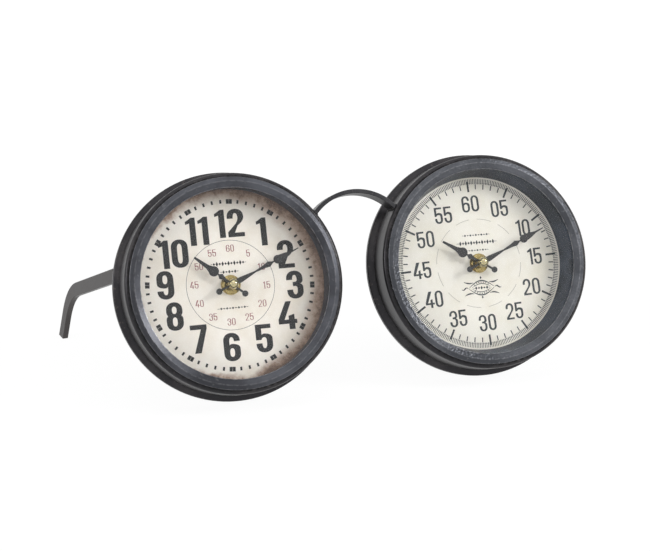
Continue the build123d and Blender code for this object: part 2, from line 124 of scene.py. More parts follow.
@dataclass
class Wiring:
    """Adds nodes to one tree and joins them up."""

    tree: Tree

    def add(self, kind: str, values: dict | None = None, **settings: object) -> bpy.types.Node:
        """One node.

        Args:
            kind: The node's type name.
            values: Input name or number to a plain value or to an output socket that feeds it.
            settings: The node's own properties.

        Returns:
            The node.
        """
        node = self.tree.nodes.new(kind)
        for name, value in settings.items():
            setattr(node, name, value)
        for key, value in (values or {}).items():
            if isinstance(value, bpy.types.NodeSocket):
                self.tree.links.new(value, node.inputs[key])
            else:
                node.inputs[key].default_value = value
        return node

    def math(self, operation: str, *values: object) -> Socket:
        """The result of a Math node on plain values or sockets."""
        return self.add("ShaderNodeMath", dict(enumerate(values)), operation=operation).outputs[0]

    def times(self, first: object, second: object) -> Socket:
        """A product."""
        return self.math("MULTIPLY", first, second)

    def plus(self, first: object, second: object) -> Socket:
        """A sum."""
        return self.math("ADD", first, second)

    def minus(self, first: object, second: object) -> Socket:
        """A difference."""
        return self.math("SUBTRACT", first, second)

    def length(self, x: Socket, y: Socket) -> Socket:
        """The length of a vector with two parts."""
        return self.math("SQRT", self.plus(self.times(x, x), self.times(y, y)))

    def vector(self, x: object, y: object, z: object) -> Socket:
        """A vector from its three parts."""
        return self.add("ShaderNodeCombineXYZ", {0: x, 1: y, 2: z}).outputs[0]

    def mix(self, factor: object, first: object, second: object) -> Socket:
        """A colour between two, by a factor."""
        values = {0: factor, 6: first, 7: second}
        return self.add("ShaderNodeMix", values, data_type="RGBA").outputs[2]

    def noise(self, place: Socket, scale: object, detail: float, rough: float = 0.5) -> Socket:
        """Noise between 0 and 1."""
        values = {"Vector": place, "Scale": scale, "Detail": detail, "Roughness": rough}
        return self.add("ShaderNodeTexNoise", values).outputs[0]

    def ramp(
        self, value: Socket, low: float, high: float, start: float = 0.0, end: float = 1.0,
    ) -> Socket:
        """A value taken smoothly from one range to another.

        Args:
            value: What is read.
            low, high: The range that is read.
            start, end: What they become.

        Returns:
            The new value.
        """
        values = {"Value": value, "From Min": low, "From Max": high, "To Min": start, "To Max": end}
        return self.add("ShaderNodeMapRange", values, interpolation_type="SMOOTHSTEP").outputs[0]


def new_material(name: str) -> tuple[Material, Wiring]:
    """An empty material and the wiring of its nodes."""
    made = bpy.data.materials.new(name)
    made.use_nodes = True
    made.node_tree.nodes.clear()
    return made, Wiring(made.node_tree)


def new_group(
    name: str, inputs: dict[str, str], outputs: dict[str, str],
) -> tuple[Wiring, object, object]:
    """An empty shader node group with named sockets.

    Args:
        name: The group's name.
        inputs: Socket name to its kind (Float, Vector or Color).
        outputs: The same for what comes out.

    Returns:
        The wiring, the sockets that bring the inputs, and the sockets that take the outputs.
    """
    tree = bpy.data.node_groups.new(name, "ShaderNodeTree")
    for way, sockets in (("INPUT", inputs), ("OUTPUT", outputs)):
        for label, kind in sockets.items():
            tree.interface.new_socket(label, in_out=way, socket_type="NodeSocket" + kind)
    wires = Wiring(tree)
    return wires, wires.add("NodeGroupInput").outputs, wires.add("NodeGroupOutput").inputs


class Effects:
    """The shader groups that several finishes share, each built once."""

    CLOUD_NOISE = (6.0, 0.62)
    CLOUD_RANGE = (0.42, 0.68)
    SPECK_RATIO = 24.0
    SPECK_DETAIL = 2.0
    SPECK_RANGE = (0.62, 0.72)
    GRAIN_DETAIL = 3.0
    WEAR_NOISE = (330.0, 6.0)
    WEAR_RANGE = (0.30, 0.62)

    @staticmethod
    @cache
    def patina() -> Tree:
        """Cloudy colour change, fine speckle and uneven gloss of an old surface."""
        inputs = {"Place": "Vector", "Base": "Color", "Cloud": "Color", "Speck": "Color"}
        amounts = ("Cloud Scale", "Cloud Amount", "Speck Amount", "Gloss", "Gloss Change")
        outputs = {"Colour": "Color", "Roughness": "Float"}
        w, start, end = new_group("patina", inputs | dict.fromkeys(amounts, "Float"), outputs)
        clouds = w.noise(start["Place"], start["Cloud Scale"], *Effects.CLOUD_NOISE)
        mask = w.ramp(clouds, *Effects.CLOUD_RANGE)
        speck_scale = w.times(start["Cloud Scale"], Effects.SPECK_RATIO)
        specks = w.noise(start["Place"], speck_scale, Effects.SPECK_DETAIL)
        dots = w.ramp(specks, *Effects.SPECK_RANGE)
        first = w.mix(w.times(mask, start["Cloud Amount"]), start["Base"], start["Cloud"])
        second = w.mix(w.times(dots, start["Speck Amount"]), first, start["Speck"])
        change = w.times(w.minus(mask, 0.5), start["Gloss Change"])
        w.tree.links.new(second, end["Colour"])
        w.tree.links.new(w.plus(start["Gloss"], change), end["Roughness"])
        return w.tree

    @staticmethod
    @cache
    def dimples() -> Tree:
        """Height of hammered or grained metal: soft dimples and a fine grain."""
        amounts = ("Dimple Size", "Dimple Depth", "Grain Size", "Grain Depth")
        inputs = {"Place": "Vector"} | dict.fromkeys(amounts, "Float")
        w, start, end = new_group("dimples", inputs, {"Height": "Float"})
        cell_inputs = {"Vector": start["Place"], "Scale": start["Dimple Size"]}
        cells = w.add("ShaderNodeTexVoronoi", cell_inputs, feature="SMOOTH_F1").outputs["Distance"]
        grain = w.noise(start["Place"], start["Grain Size"], Effects.GRAIN_DETAIL)
        total = w.plus(w.times(cells, start["Dimple Depth"]), w.times(grain, start["Grain Depth"]))
        w.tree.links.new(total, end["Height"])
        return w.tree

    @staticmethod
    @cache
    def worn_ring() -> Tree:
        """A line round a case at one radius and depth, broken up by noise: the mask for painted groove
        shade and for rubbed edges with painted highlight.
        """
        amounts = ("Radius", "Depth", "Width", "Strength")
        inputs = {"Place": "Vector"} | dict.fromkeys(amounts, "Float")
        w, start, end = new_group("worn_ring", inputs, {"Mask": "Float"})
        x, y, z = w.add("ShaderNodeSeparateXYZ", {0: start["Place"]}).outputs
        across = w.minus(w.length(x, y), start["Radius"])
        distance = w.length(across, w.minus(z, start["Depth"]))
        near = w.minus(1.0, w.math("MINIMUM", 1.0, w.math("DIVIDE", distance, start["Width"])))
        breaks = w.noise(start["Place"], *Effects.WEAR_NOISE)
        ring_strength = w.times(w.ramp(breaks, *Effects.WEAR_RANGE), start["Strength"])
        w.tree.links.new(w.times(near, ring_strength), end["Mask"])
        return w.tree


@dataclass(frozen=True)
class ClockFrame:
    """Where one clock's dial stands: its middle and its directions in the whole object."""

    side: Side
    matrix: Matrix

    @staticmethod
    def read(side: Side, frame: dict) -> "ClockFrame":
        """The frame of a clock, from the joint that its minute hand turns on.

        Args:
            side: Which clock.

        Returns:
            The clock's frame: x to the right, y up the dial, z out of the dial.
        """
        joint = next(j for j in frame["joints"] if j["name"] == side.value + "_minute_turn")
        out = -Vector(joint["axis"]).normalized()
        right = Vector((1.0, 0.0, 0.0))
        up = out.cross(right)
        matrix = Matrix((right, up, out)).transposed().to_4x4()
        matrix.translation = Vector(joint["pos_m"])
        return ClockFrame(side, matrix)

    def place(self, wires: Wiring) -> Socket:
        """The point in this clock's own directions, in metres, for a material's patterns."""
        back = self.matrix.inverted()
        coordinates = wires.add("ShaderNodeTexCoord")
        mapping = wires.add("ShaderNodeMapping", {"Vector": coordinates.outputs["Object"]})
        mapping.inputs["Location"].default_value = back.translation
        mapping.inputs["Rotation"].default_value = back.to_euler()
        return mapping.outputs[0]


@dataclass(frozen=True)
class Finish:
    """A surface: its colours, gloss, texture and painted lines of shade and highlight round a case. One
    material is made from it for each name.
    """

    name: str
    base: Colour
    cloud: Colour
    speck: Colour
    gloss: Gloss = Gloss.SATIN
    metal: float = 0.0
    coat: float = 0.0
    cloud_scale: float = 22.0
    cloud_amount: float = 0.6
    speck_amount: float = 0.3
    gloss_change: float = 0.12
    dimple_size: float = 300.0
    dimple_depth: float = 0.0
    grain_size: float = 1800.0
    grain_depth: float = 0.15
    relief: float = 0.15
    # Light lines on the case's edges: partly rubbed wear, partly painted highlight along ridges and rims.
    worn_colour: Colour = (176, 176, 180)
    worn_rings: tuple[Ring, ...] = ()
    # Painted shade: near-black lines in the case's grooves and seams.
    groove_colour: Colour = (14, 14, 15)
    groove_rings: tuple[Ring, ...] = ()
    edge_light: float = 1.0

    def material(self, clock: ClockFrame | None = None) -> Material:
        """The material.

        Args:
            clock: The clock whose directions the pattern follows, or None for the whole object's.

        Returns:
            The material, made on its first use.
        """
        name = self.name if clock is None else f"{self.name}_{clock.side.value}"
        if name in bpy.data.materials:
            return bpy.data.materials[name]
        made, w = new_material(name)
        place = clock.place(w) if clock else w.add("ShaderNodeTexCoord").outputs["Object"]
        values = {
            "Place": place,
            "Base": shade(*self.base),
            "Cloud": shade(*self.cloud),
            "Speck": shade(*self.speck),
            "Cloud Scale": self.cloud_scale,
            "Cloud Amount": self.cloud_amount,
            "Speck Amount": self.speck_amount,
            "Gloss": self.gloss.value,
            "Gloss Change": self.gloss_change,
        }
        patina = w.add("ShaderNodeGroup", values, node_tree=Effects.patina()).outputs
        colour = patina["Colour"]
        # Painted shade in the grooves, then rubbed edges with painted highlight, as lines round the
        # clock's middle.
        rings = [(*ring, self.groove_colour) for ring in self.groove_rings]
        rings += [(*ring, self.worn_colour) for ring in self.worn_rings]
        for radius, depth, width, strength, ring_colour in rings:
            values = {"Place": place, "Radius": radius * MM, "Depth": depth * MM, "Width": width * MM}
            values["Strength"] = strength
            ring = w.add("ShaderNodeGroup", values, node_tree=Effects.worn_ring())
            colour = w.mix(ring.outputs["Mask"], colour, shade(*ring_colour))
        values = {
            "Place": place,
            "Dimple Size": self.dimple_size,
            "Dimple Depth": self.dimple_depth,
            "Grain Size": self.grain_size,
            "Grain Depth": self.grain_depth,
        }
        height = w.add("ShaderNodeGroup", values, node_tree=Effects.dimples()).outputs["Height"]
        values = {"Height": height, "Strength": self.relief, "Distance": BUMP_DISTANCE_M}
        values = {
            "Base Color": colour,
            "Roughness": patina["Roughness"],
            "Normal": w.add("ShaderNodeBump", values).outputs[0],
            "Metallic": self.metal,
            "Coat Weight": self.coat,
            "Coat Roughness": COAT_ROUGHNESS,
            "Specular Tint": (self.edge_light,) * 3 + (1.0,),
        }
        surface = w.add("ShaderNodeBsdfPrincipled", values)
        w.add("ShaderNodeOutputMaterial", {"Surface": surface.outputs[0]})
        return made


# Rubbed edges of the case with painted highlight lines along its ridges and rims: radius, depth, width,
# strength.
CASE_WEAR_AND_HIGHLIGHT_RINGS = (
    (96.6, -15.0, 1.1, 0.3), (88.3, 22.3, 0.7, 0.4), (84.4, 24.0, 0.9, 0.2), (79.2, 21.8, 0.8, 0.5),
    (92.0, 19.4, 0.8, 0.3),
)
# Painted shade in the case's grooves and seams, as dark lines: radius, depth, width, strength.
CASE_GROOVE_SHADE = (
    (90.4, -9.5, 3.6, 1.0), (90.2, -12.6, 2.6, 1.0), (88.8, 20.6, 2.0, 1.0), (84.2, 22.9, 1.1, 0.7),
    (80.2, 21.4, 1.2, 0.8),
)
CASE = Finish(
    "case_lacquer", (42, 41, 44), (76, 73, 74), (104, 96, 90), metal=0.8, coat=0.14, cloud_scale=18.0,
    dimple_size=240.0, dimple_depth=0.25, relief=0.22, edge_light=0.8, worn_rings=CASE_WEAR_AND_HIGHLIGHT_RINGS,
    groove_rings=CASE_GROOVE_SHADE,
)
BEZEL = Finish(
    "bezel_lacquer", (58, 59, 64), (102, 104, 111), (112, 112, 114), metal=0.75, coat=0.1,
    cloud_scale=12.0, dimple_size=420.0, dimple_depth=0.5, relief=0.25, edge_light=0.7,
    worn_rings=CASE_WEAR_AND_HIGHLIGHT_RINGS, groove_rings=CASE_GROOVE_SHADE,
)
HAMMERED_BEZEL = Finish(
    "hammered_bezel", (66, 68, 73), (112, 114, 120), (128, 129, 132), metal=0.75, coat=0.1,
    cloud_scale=12.0, dimple_size=520.0, dimple_depth=1.0, relief=0.8, edge_light=0.8,
    worn_rings=CASE_WEAR_AND_HIGHLIGHT_RINGS, groove_rings=CASE_GROOVE_SHADE,
)
LINER = Finish(
    "inner_wall", (34, 41, 52), (70, 79, 94), (120, 126, 134), metal=0.2, cloud_scale=44.0, relief=0.25,
    dimple_size=300.0, dimple_depth=0.4, edge_light=0.4,
)
TEMPLE = Finish(
    "temple_lacquer", (74, 71, 71), (98, 94, 92), (112, 106, 100), metal=0.6, coat=0.04, cloud_scale=18.0,
    dimple_size=260.0, dimple_depth=0.2, relief=0.2, edge_light=0.5,
)
BRIDGE = Finish(
    "bridge_lacquer", (58, 58, 61), (84, 83, 85), (124, 120, 116), metal=0.7, coat=0.1, cloud_scale=28.0,
    dimple_size=300.0, dimple_depth=0.2, relief=0.2, edge_light=0.5,
)
BACK = Finish(
    "back_lacquer", (54, 54, 58), (70, 69, 72), (92, 89, 86), Gloss.DULL, metal=0.4, cloud_scale=12.0,
    relief=0.3, dimple_size=500.0, dimple_depth=0.3, edge_light=0.4,
)
WELD = Finish(
    "weld_metal", (40, 39, 40), (66, 62, 60), (96, 88, 82), Gloss.DULL, metal=0.7, cloud_scale=200.0,
    relief=0.3,
)
BRASS = Finish(
    "nut_brass", (176, 158, 104), (146, 126, 74), (214, 200, 156), Gloss.POLISHED, metal=1.0,
    cloud_scale=120.0, relief=0.08,
)
CAP_BRASS = Finish(
    "cap_brass", (198, 188, 148), (168, 156, 112), (232, 226, 200), Gloss.WET, metal=1.0,
    cloud_scale=160.0, relief=0.04, gloss_change=0.05,
)
ZINC = Finish(
    "zinc_plate", (166, 168, 170), (142, 143, 140), (196, 196, 190), metal=1.0, cloud_scale=90.0,
    relief=0.12,
)
BLACK_PLASTIC = Finish(
    "moulded_black", (24, 24, 26), (32, 32, 34), (46, 46, 48), Gloss.DULL, cloud_scale=60.0, relief=0.3,
    grain_size=2600.0, grain_depth=0.6,
)
GEAR_PLASTIC = Finish(
    "moulded_white", (222, 220, 210), (206, 202, 190), (236, 234, 226), cloud_scale=120.0, relief=0.1,
)
RUBBER = Finish(
    "rubber", (26, 26, 27), (36, 36, 36), (52, 50, 48), Gloss.MATT, cloud_scale=80.0, relief=0.3,
)
BOARD = Finish(
    "fibre_board", (120, 92, 62), (104, 78, 52), (140, 114, 82), Gloss.MATT, cloud_scale=60.0, relief=0.4,
)
COPPER = Finish(
    "coil_copper", (176, 98, 60), (150, 80, 50), (204, 134, 92), metal=1.0, cloud_scale=200.0, relief=0.3,
)
CIRCUIT = Finish("circuit_green", (34, 84, 58), (26, 70, 48), (60, 110, 80), cloud_scale=90.0, relief=0.1)
WRAP = Finish(
    "cell_wrap", (52, 60, 82), (46, 52, 70), (90, 96, 112), Gloss.POLISHED, cloud_scale=50.0, relief=0.05,
)
HAND_BLACK = Finish(
    "hand_black", (16, 17, 20), (24, 25, 28), (44, 44, 46), cloud_scale=120.0, relief=0.12, coat=0.05,
)
INK = Finish(
    "black_ink", (28, 28, 30), (38, 38, 40), (74, 72, 68), Gloss.MATT, cloud_scale=90.0,
    speck_amount=0.35, relief=0.1,
)
GREY_INK = Finish(
    "grey_ink", (44, 50, 54), (60, 65, 68), (112, 112, 108), Gloss.MATT, cloud_scale=90.0,
    speck_amount=0.4, relief=0.1,
)
PALE_INK = Finish(
    "pale_ink", (150, 146, 136), (174, 170, 158), (190, 186, 172), Gloss.MATT, cloud_scale=60.0,
    relief=0.1,
)
RED_INK = Finish(
    "red_ink", (146, 92, 94), (166, 116, 114), (186, 150, 146), Gloss.MATT, cloud_scale=90.0,
    speck_amount=0.4, relief=0.1,
)

NODE_FINISHES = {
    "case_drum": CASE,
    "front_bezel": BEZEL,
    "spacer_ring": LINER,
    "dial_board": BOARD,
    "retaining_brackets": ZINC,
    "back_cover": BACK,
    "movement_base": BLACK_PLASTIC,
    "movement_cover": BLACK_PLASTIC,
    "train_plate": GEAR_PLASTIC,
    "motor_coil": COPPER,
    "circuit_board": CIRCUIT,
    "battery": WRAP,
    "battery_contacts": ZINC,
    "rubber_washer": RUBBER,
    "threaded_bush": BRASS,
    "flat_washer": BRASS,
    "hex_nut": BRASS,
    "minute_arbor": GEAR_PLASTIC,
    "minute_wheel": GEAR_PLASTIC,
    "hour_wheel": GEAR_PLASTIC,
    "setting_knob": GEAR_PLASTIC,
    "hour_hand": HAND_BLACK,
    "minute_hand": HAND_BLACK,
    "hand_cap": CAP_BRASS,
}


@dataclass(frozen=True)
class AgedPaper:
    """The printed dial's paper: ivory, browned at its edge by age and by painted shade of the bezel, more
    so on the side where the bezel's shadow falls.
    """

    paper: Colour = (238, 233, 224)
    warm: Colour = (226, 217, 202)
    # Brown of the foxing and of the browned edge; at the edge it is partly age stain, partly painted
    # shade.
    stain: Colour = (150, 112, 84)
    # Darkest brown at the very edge: partly rust, partly painted shade under the bezel.
    rust: Colour = (84, 58, 46)
    edge_mm: float = 80.6
    band_mm: float = 20.0
    # Side towards which the browned edge widens, where the bezel's shadow falls: that part is painted
    # shade.
    lean: tuple[float, float] = (0.75, 0.25)
    amount: float = 1.0
    cloud_noise: Range = (26.0, 8.0, 0.68)
    fine_noise: Range = (240.0, 4.0, 0.7)
    wander: float = 1.5
    break_up: float = 1.2
    reach_range: Range = (-0.6, 0.9, 0.25, 1.0)
    brown_range: Range = (0.0, 0.9)
    dark_range: Range = (0.62, 1.15)
    mottle_range: Range = (0.35, 0.75)
    fox_range: Range = (0.66, 0.8)
    rough_range: Range = (0.2, 0.8, 0.62, 0.8)
    fox_share: float = 0.25
    brown_share: float = 0.8
    dark_share: float = 0.75
    tooth: float = 0.08
    tooth_m: float = 0.0003

    def material(self, clock: ClockFrame) -> Material:
        """The dial's material, with its stains and its painted edge shade placed in the clock's own
        directions.
        """
        made, w = new_material("aged_paper_" + clock.side.value)
        place = clock.place(w)
        x, y, _ = w.add("ShaderNodeSeparateXYZ", {0: place}).outputs
        edge, band = self.edge_mm * MM, self.band_mm * MM
        shade_leaning = w.plus(w.times(x, self.lean[0]), w.times(y, self.lean[1]))
        toward = w.math("DIVIDE", shade_leaning, edge)
        clouds = w.noise(place, *self.cloud_noise)
        fine = w.noise(place, *self.fine_noise)
        depth = w.minus(edge, w.length(x, y))
        wander = w.times(w.minus(clouds, 0.5), band * self.wander)
        reach = w.times(w.ramp(toward, *self.reach_range), band)
        near = w.minus(1.0, w.math("DIVIDE", w.plus(depth, wander), reach))
        # Browning at the edge: age stain and painted bezel shade together, widest on the leaning side.
        brown = w.times(w.ramp(near, *self.brown_range), self.amount)
        broken = w.plus(near, w.times(w.minus(fine, 0.5), self.break_up))
        dark = w.times(w.ramp(broken, *self.dark_range), self.amount)
        mottled = w.mix(w.ramp(clouds, *self.mottle_range), shade(*self.paper), shade(*self.warm))
        foxing = w.times(w.ramp(fine, *self.fox_range), self.fox_share)
        foxed = w.mix(foxing, mottled, shade(*self.stain))
        stain_and_shade_edge = w.mix(w.times(brown, self.brown_share), foxed, shade(*self.stain))
        colour = w.mix(w.times(dark, self.dark_share), stain_and_shade_edge, shade(*self.rust))
        values = {"Height": fine, "Strength": self.tooth, "Distance": self.tooth_m}
        bump = w.add("ShaderNodeBump", values)
        rough = w.ramp(clouds, *self.rough_range)
        values = {"Base Color": colour, "Roughness": rough, "Normal": bump.outputs[0]}
        surface = w.add("ShaderNodeBsdfPrincipled", values)
        w.add("ShaderNodeOutputMaterial", {"Surface": surface.outputs[0]})
        return made


@dataclass(frozen=True)
class ClearGlass:
    """Thin clear glass that lets lamps through."""

    tint: Colour = (252, 252, 252)
    bending: float = 1.3
    smear_noise: Range = (14.0, 5.0)
    smear_range: Range = (0.3, 0.8, 0.0, 0.03)

    def material(self) -> Material:
        """The glass, made on its first use."""
        if "clear_glass" in bpy.data.materials:
            return bpy.data.materials["clear_glass"]
        made, w = new_material("clear_glass")
        place = w.add("ShaderNodeTexCoord").outputs["Object"]
        rough = w.ramp(w.noise(place, *self.smear_noise), *self.smear_range)
        values = {"Base Color": shade(*self.tint), "Roughness": rough, "IOR": self.bending}
        glass = w.add("ShaderNodeBsdfPrincipled", values | {"Transmission Weight": 1.0})
        clear = w.add("ShaderNodeBsdfTransparent", {"Color": shade(*self.tint)})
        lamp = w.add("ShaderNodeLightPath").outputs["Is Shadow Ray"]
        mixed = w.add("ShaderNodeMixShader", {0: lamp, 1: glass.outputs[0], 2: clear.outputs[0]})
        w.add("ShaderNodeOutputMaterial", {"Surface": mixed.outputs[0]})
        return made


def bent(start: Spot, corner: Spot, end: Spot, pull: float = 0.6) -> Loop:
    """Points on a quarter bend from start to end, pulled towards a corner, without its start."""
    points = []
    for step in range(1, CURVE_STEPS + 1):
        t = step / CURVE_STEPS
        a, b, c, d = (1 - t) ** 3, 3 * t * (1 - t) ** 2, 3 * t * t * (1 - t), t**3
        first = [s + (k - s) * pull for s, k in zip(start, corner)]
        last = [e + (k - e) * pull for e, k in zip(end, corner)]
        points.append(tuple(a * s + b * f + c * g + d * e for s, f, g, e in zip(start, first, last, end)))
    return points


def drawn(*steps: tuple[float, ...]) -> Loop:
    """A closed outline: each step is a point, or a corner and the point that a bend leads to."""
    loop: Loop = []
    for step in steps:
        loop += [step] if len(step) == 2 else bent(loop[-1], step[:2], step[2:])
    return loop


def rotated(x: float, y: float, turn: float) -> Spot:
    """A point turned counter-clockwise round the origin, in radians."""
    return x * math.cos(turn) - y * math.sin(turn), x * math.sin(turn) + y * math.cos(turn)


def rounded(low_x: float, low_y: float, high_x: float, high_y: float, bend: float) -> Loop:
    """An upright oval box whose top and bottom are bends of a given height."""
    middle = (low_x + high_x) / 2
    return drawn(
        (low_x, low_y + bend),
        (low_x, high_y - bend),
        (low_x, high_y, middle, high_y),
        (high_x, high_y, high_x, high_y - bend),
        (high_x, low_y + bend),
        (high_x, low_y, middle, low_y),
        (low_x, low_y, low_x, low_y + bend),
    )


@dataclass(frozen=True)
class Numerals:
    """Plain dial numerals drawn from strokes: width, stem and bar are shares of the height."""

    height: float
    width: float = 0.60
    stem: float = 0.215
    bar: float = 0.15
    gap: float = 0.09
    one_width: float = 0.36
    foot: float = 0.0

    def digit(self, digit: str) -> list[Loop]:
        """The outlines of one digit, one unit high from the origin."""
        w, s, b = self.width, self.stem, self.bar
        m, r, i = w / 2, 0.27, 0.17
        t, u = 1 - b, w - s
        if digit == "0":
            return [rounded(0, 0, w, 1, r), rounded(s, b, u, t, i)]
        if digit == "1":
            x, f = self.one_width - s - self.foot, self.foot
            feet = [
                (x, 0.05), (x - f, 0.05), (x - f, 0), (x + s + f, 0), (x + s + f, 0.05), (x + s, 0.05),
            ]
            return [drawn(
                *(feet if f else [(x, 0), (x + s, 0)]), (x + s, 1), (x + 0.3 * s, 1),
                (x - 0.3 * s, 0.90, 0, 0.87), (0, 0.76), (x, 0.80),
            )]
        if digit == "2":
            return [drawn(
                (0, 0), (w, 0), (w, b), (s * 1.15, b), (u * 0.95, 0.40), (w, 0.54, w, 0.70), (w, 1 - r),
                (w, 1, m, 1), (0, 1, 0, 1 - r), (0, 0.66), (s, 0.66), (s, t - i), (s, t, m, t),
                (u, t, u, t - i), (u, 0.68), (u, 0.58, u * 0.78, 0.47), (0, b * 1.2),
            )]
        if digit == "3":
            return [drawn(
                (0, 0.33), (0, r), (0, 0, m, 0), (w, 0, w, r), (w, 0.40), (w, 0.49, w - 0.1, 0.53),
                (w, 0.56, w, 0.66), (w, 1 - r), (w, 1, m, 1), (0, 1, 0, 1 - r), (0, 0.68), (s, 0.68),
                (s, t - i), (s, t, m, t), (u, t, u, t - i), (u, 0.68), (u, 0.60, m, 0.60),
                (m * 0.75, 0.60), (m * 0.75, 0.60 - b), (m, 0.60 - b), (u, 0.60 - b, u, 0.37), (u, b + i),
                (u, b, m, b), (s, b, s, b + i), (s, 0.33),
            )]
        if digit == "4":
            x, low, high = w * 0.58, 0.20, 0.20 + b
            return [drawn(
                (x, 0), (x + s, 0), (x + s, low), (w * 1.08, low), (w * 1.08, high), (x + s, high),
                (x + s, 0.54), (x, 0.48), (x, high), (s * 0.9, high), (x + 0.14, 1), (x - 0.07, 1),
                (-0.03, high + 0.02), (-0.03, low), (x, low),
            )]
        if digit == "5":
            return [drawn(
                (0, 0.45), (0, 1), (w * 0.94, 1), (w * 0.94, t), (s, t), (s, 0.62),
                (s + 0.03, 0.67, m, 0.67), (w, 0.67, w, 0.67 - i), (w, r), (w, 0, m, 0), (0, 0, 0, r),
                (0, 0.33), (s, 0.33), (s, b + i), (s, b, m, b), (u, b, u, b + i), (u, 0.53 - i * 0.6),
                (u, 0.54, m, 0.54), (s, 0.54, s * 0.9, 0.45),
            )]
        if digit in "69":
            loops = [
                drawn(
                    (0, r), (0, 1 - r), (0, 1, m, 1), (w, 1, w, 1 - r), (w, 0.70), (u, 0.70), (u, t - i),
                    (u, t, m, t), (s, t, s, t - i), (s, 0.56), (s + 0.03, 0.61, m, 0.61),
                    (w, 0.61, w, 0.61 - i), (w, r), (w, 0, m, 0), (0, 0, 0, r),
                ),
                rounded(s, b, u, 0.61 - b, i * 0.75),
            ]
            return loops if digit == "6" else [[(w - x, 1 - y) for x, y in loop] for loop in loops]
        if digit == "7":
            return [drawn(
                (0.10, 0), (0.10 + s * 1.1, 0), (w, 0.86), (w, 1), (0, 1), (0, 1 - b * 1.1),
                (u, 1 - b * 1.1),
            )]
        outer = drawn(
            (0, r), (0, 0.38), (0, 0.49, 0.07, 0.525), (0.01, 0.57, 0.01, 0.68), (0.01, 1 - r),
            (0.01, 1, m, 1), (w - 0.01, 1, w - 0.01, 1 - r), (w - 0.01, 0.68),
            (w - 0.01, 0.57, w - 0.07, 0.525), (w, 0.49, w, 0.38), (w, r), (w, 0, m, 0), (0, 0, 0, r),
        )
        return [outer, rounded(s, b, u, 0.47, i * 0.8), rounded(s, 0.47 + b * 0.8, u, t, i * 0.7)]

    def word(self, text: str, x: float, y: float, turn: float = 0.0) -> list[Loop]:
        """A numeral's outlines in millimetres.

        Args:
            text: The digits.
            x, y: Its middle on the dial.
            turn: How far it is turned counter-clockwise, in radians.

        Returns:
            The loops.
        """
        widths = [self.one_width if digit == "1" else self.width for digit in text]
        left = -(sum(widths) + self.gap * (len(text) - 1)) / 2
        loops = []
        for digit, width in zip(text, widths):
            for loop in self.digit(digit):
                points = [((px + left) * self.height, (py - 0.5) * self.height) for px, py in loop]
                turned = [rotated(px, py, turn) for px, py in points]
                loops.append([(x + px, y + py) for px, py in turned])
            left += width + self.gap
        return loops


def ribbon(points: Loop, thick: float) -> Loop:
    """The outline of a stroke along points, full in its middle and fine at both ends."""
    left, right, fine = [], [], 0.25
    for number, (x, y) in enumerate(points):
        ax, ay = points[max(0, number - 1)]
        bx, by = points[min(len(points) - 1, number + 1)]
        length = math.hypot(bx - ax, by - ay)
        swell = math.sin(math.pi * number / (len(points) - 1))
        half = thick / 2 * (fine + (1 - fine) * swell)
        nx, ny = -(by - ay) / length * half, (bx - ax) / length * half
        left.append((x + nx, y + ny))
        right.append((x - nx, y - ny))
    return left + right[::-1]


def lozenge(x: float, y: float, half_width: float, half_height: float) -> Loop:
    """A diamond."""
    return [(x - half_width, y), (x, y - half_height), (x + half_width, y), (x, y + half_height)]


def beaded_band(y: float, half: float, height: float) -> list[Loop]:
    """A row of diamonds, tall and low by turns, that closes with a fine point at each end."""
    pitch, end_length, low_share, fill = 2.5, 2.0, 0.55, 0.44
    point_gap, point_half = 0.6, 0.3
    count = int((half - end_length) / pitch)
    row = []
    for number in range(-count, count + 1):
        tall = height if number % 2 == 0 else height * low_share
        row.append(lozenge(number * pitch, y, pitch * fill, tall))
    for side in (-1, 1):
        start = side * (count + point_gap) * pitch
        row.append([(start, y - point_half), (side * half, y), (start, y + point_half)])
    return row


def shown(name: str, data: bpy.types.ID | None) -> Piece:
    """A new object in the scene with the given data."""
    made = bpy.data.objects.new(name, data)
    bpy.context.scene.collection.objects.link(made)
    return made


def evaluated(source: Piece) -> Mesh:
    """A new plain mesh of an object as its modifiers leave it."""
    graph = bpy.context.evaluated_depsgraph_get()
    return bpy.data.meshes.new_from_object(source.evaluated_get(graph))


def finished(shell: bmesh.types.BMesh, mesh: Mesh) -> Mesh:
    """The mesh with a closed shell written into it, its faces outwards."""
    bmesh.ops.recalc_face_normals(shell, faces=shell.faces)
    shell.to_mesh(mesh)
    shell.free()
    return mesh


def dress(mesh: Mesh, finish: Material) -> None:
    """Gives a mesh one material in place of all it has."""
    mesh.materials.clear()
    mesh.materials.append(finish)


def keep(mesh: Mesh, name: str, finish: Material, body: str) -> Piece:
    """A finished mesh as a piece of the object.

    Args:
        mesh: The mesh, already in place.
        name: The piece's name.
        finish: Its material.
        body: The body that it rides on.

    Returns:
        The piece's object.
    """
    mesh.name = name
    dress(mesh, finish)
    piece = shown(name, mesh)
    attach(piece, body)
    log.info("%s: %d faces on %s", name, len(mesh.polygons), body)
    return piece


def printed(loops: list[Loop], name: str, finish: Material, clock: ClockFrame) -> Piece:
    """A print on a dial: closed outlines in millimetres, filled and given the ink's thickness."""
    curve = bpy.data.curves.new(name, "CURVE")
    curve.dimensions = "2D"
    curve.fill_mode = "BOTH"
    curve.extrude = INK_HEIGHT * MM / 2
    for loop in loops:
        spline = curve.splines.new("POLY")
        spline.points.add(len(loop) - 1)
        for point, (x, y) in zip(spline.points, loop):
            point.co = (x * MM, y * MM, 0.0, 1.0)
        spline.use_cyclic_u = True
    drawing = shown(name + "_drawing", curve)
    mesh = evaluated(drawing)
    bpy.data.objects.remove(drawing)
    bpy.data.curves.remove(curve)
    closed = bmesh.new()
    closed.from_mesh(mesh)
    bmesh.ops.remove_doubles(closed, verts=closed.verts, dist=MERGE_DISTANCE * MM)
    finished(closed, mesh)
    mesh.transform(clock.matrix @ Matrix.Translation((0, 0, INK_HEIGHT * MM / 2)))
    return keep(mesh, name, finish, "frame")


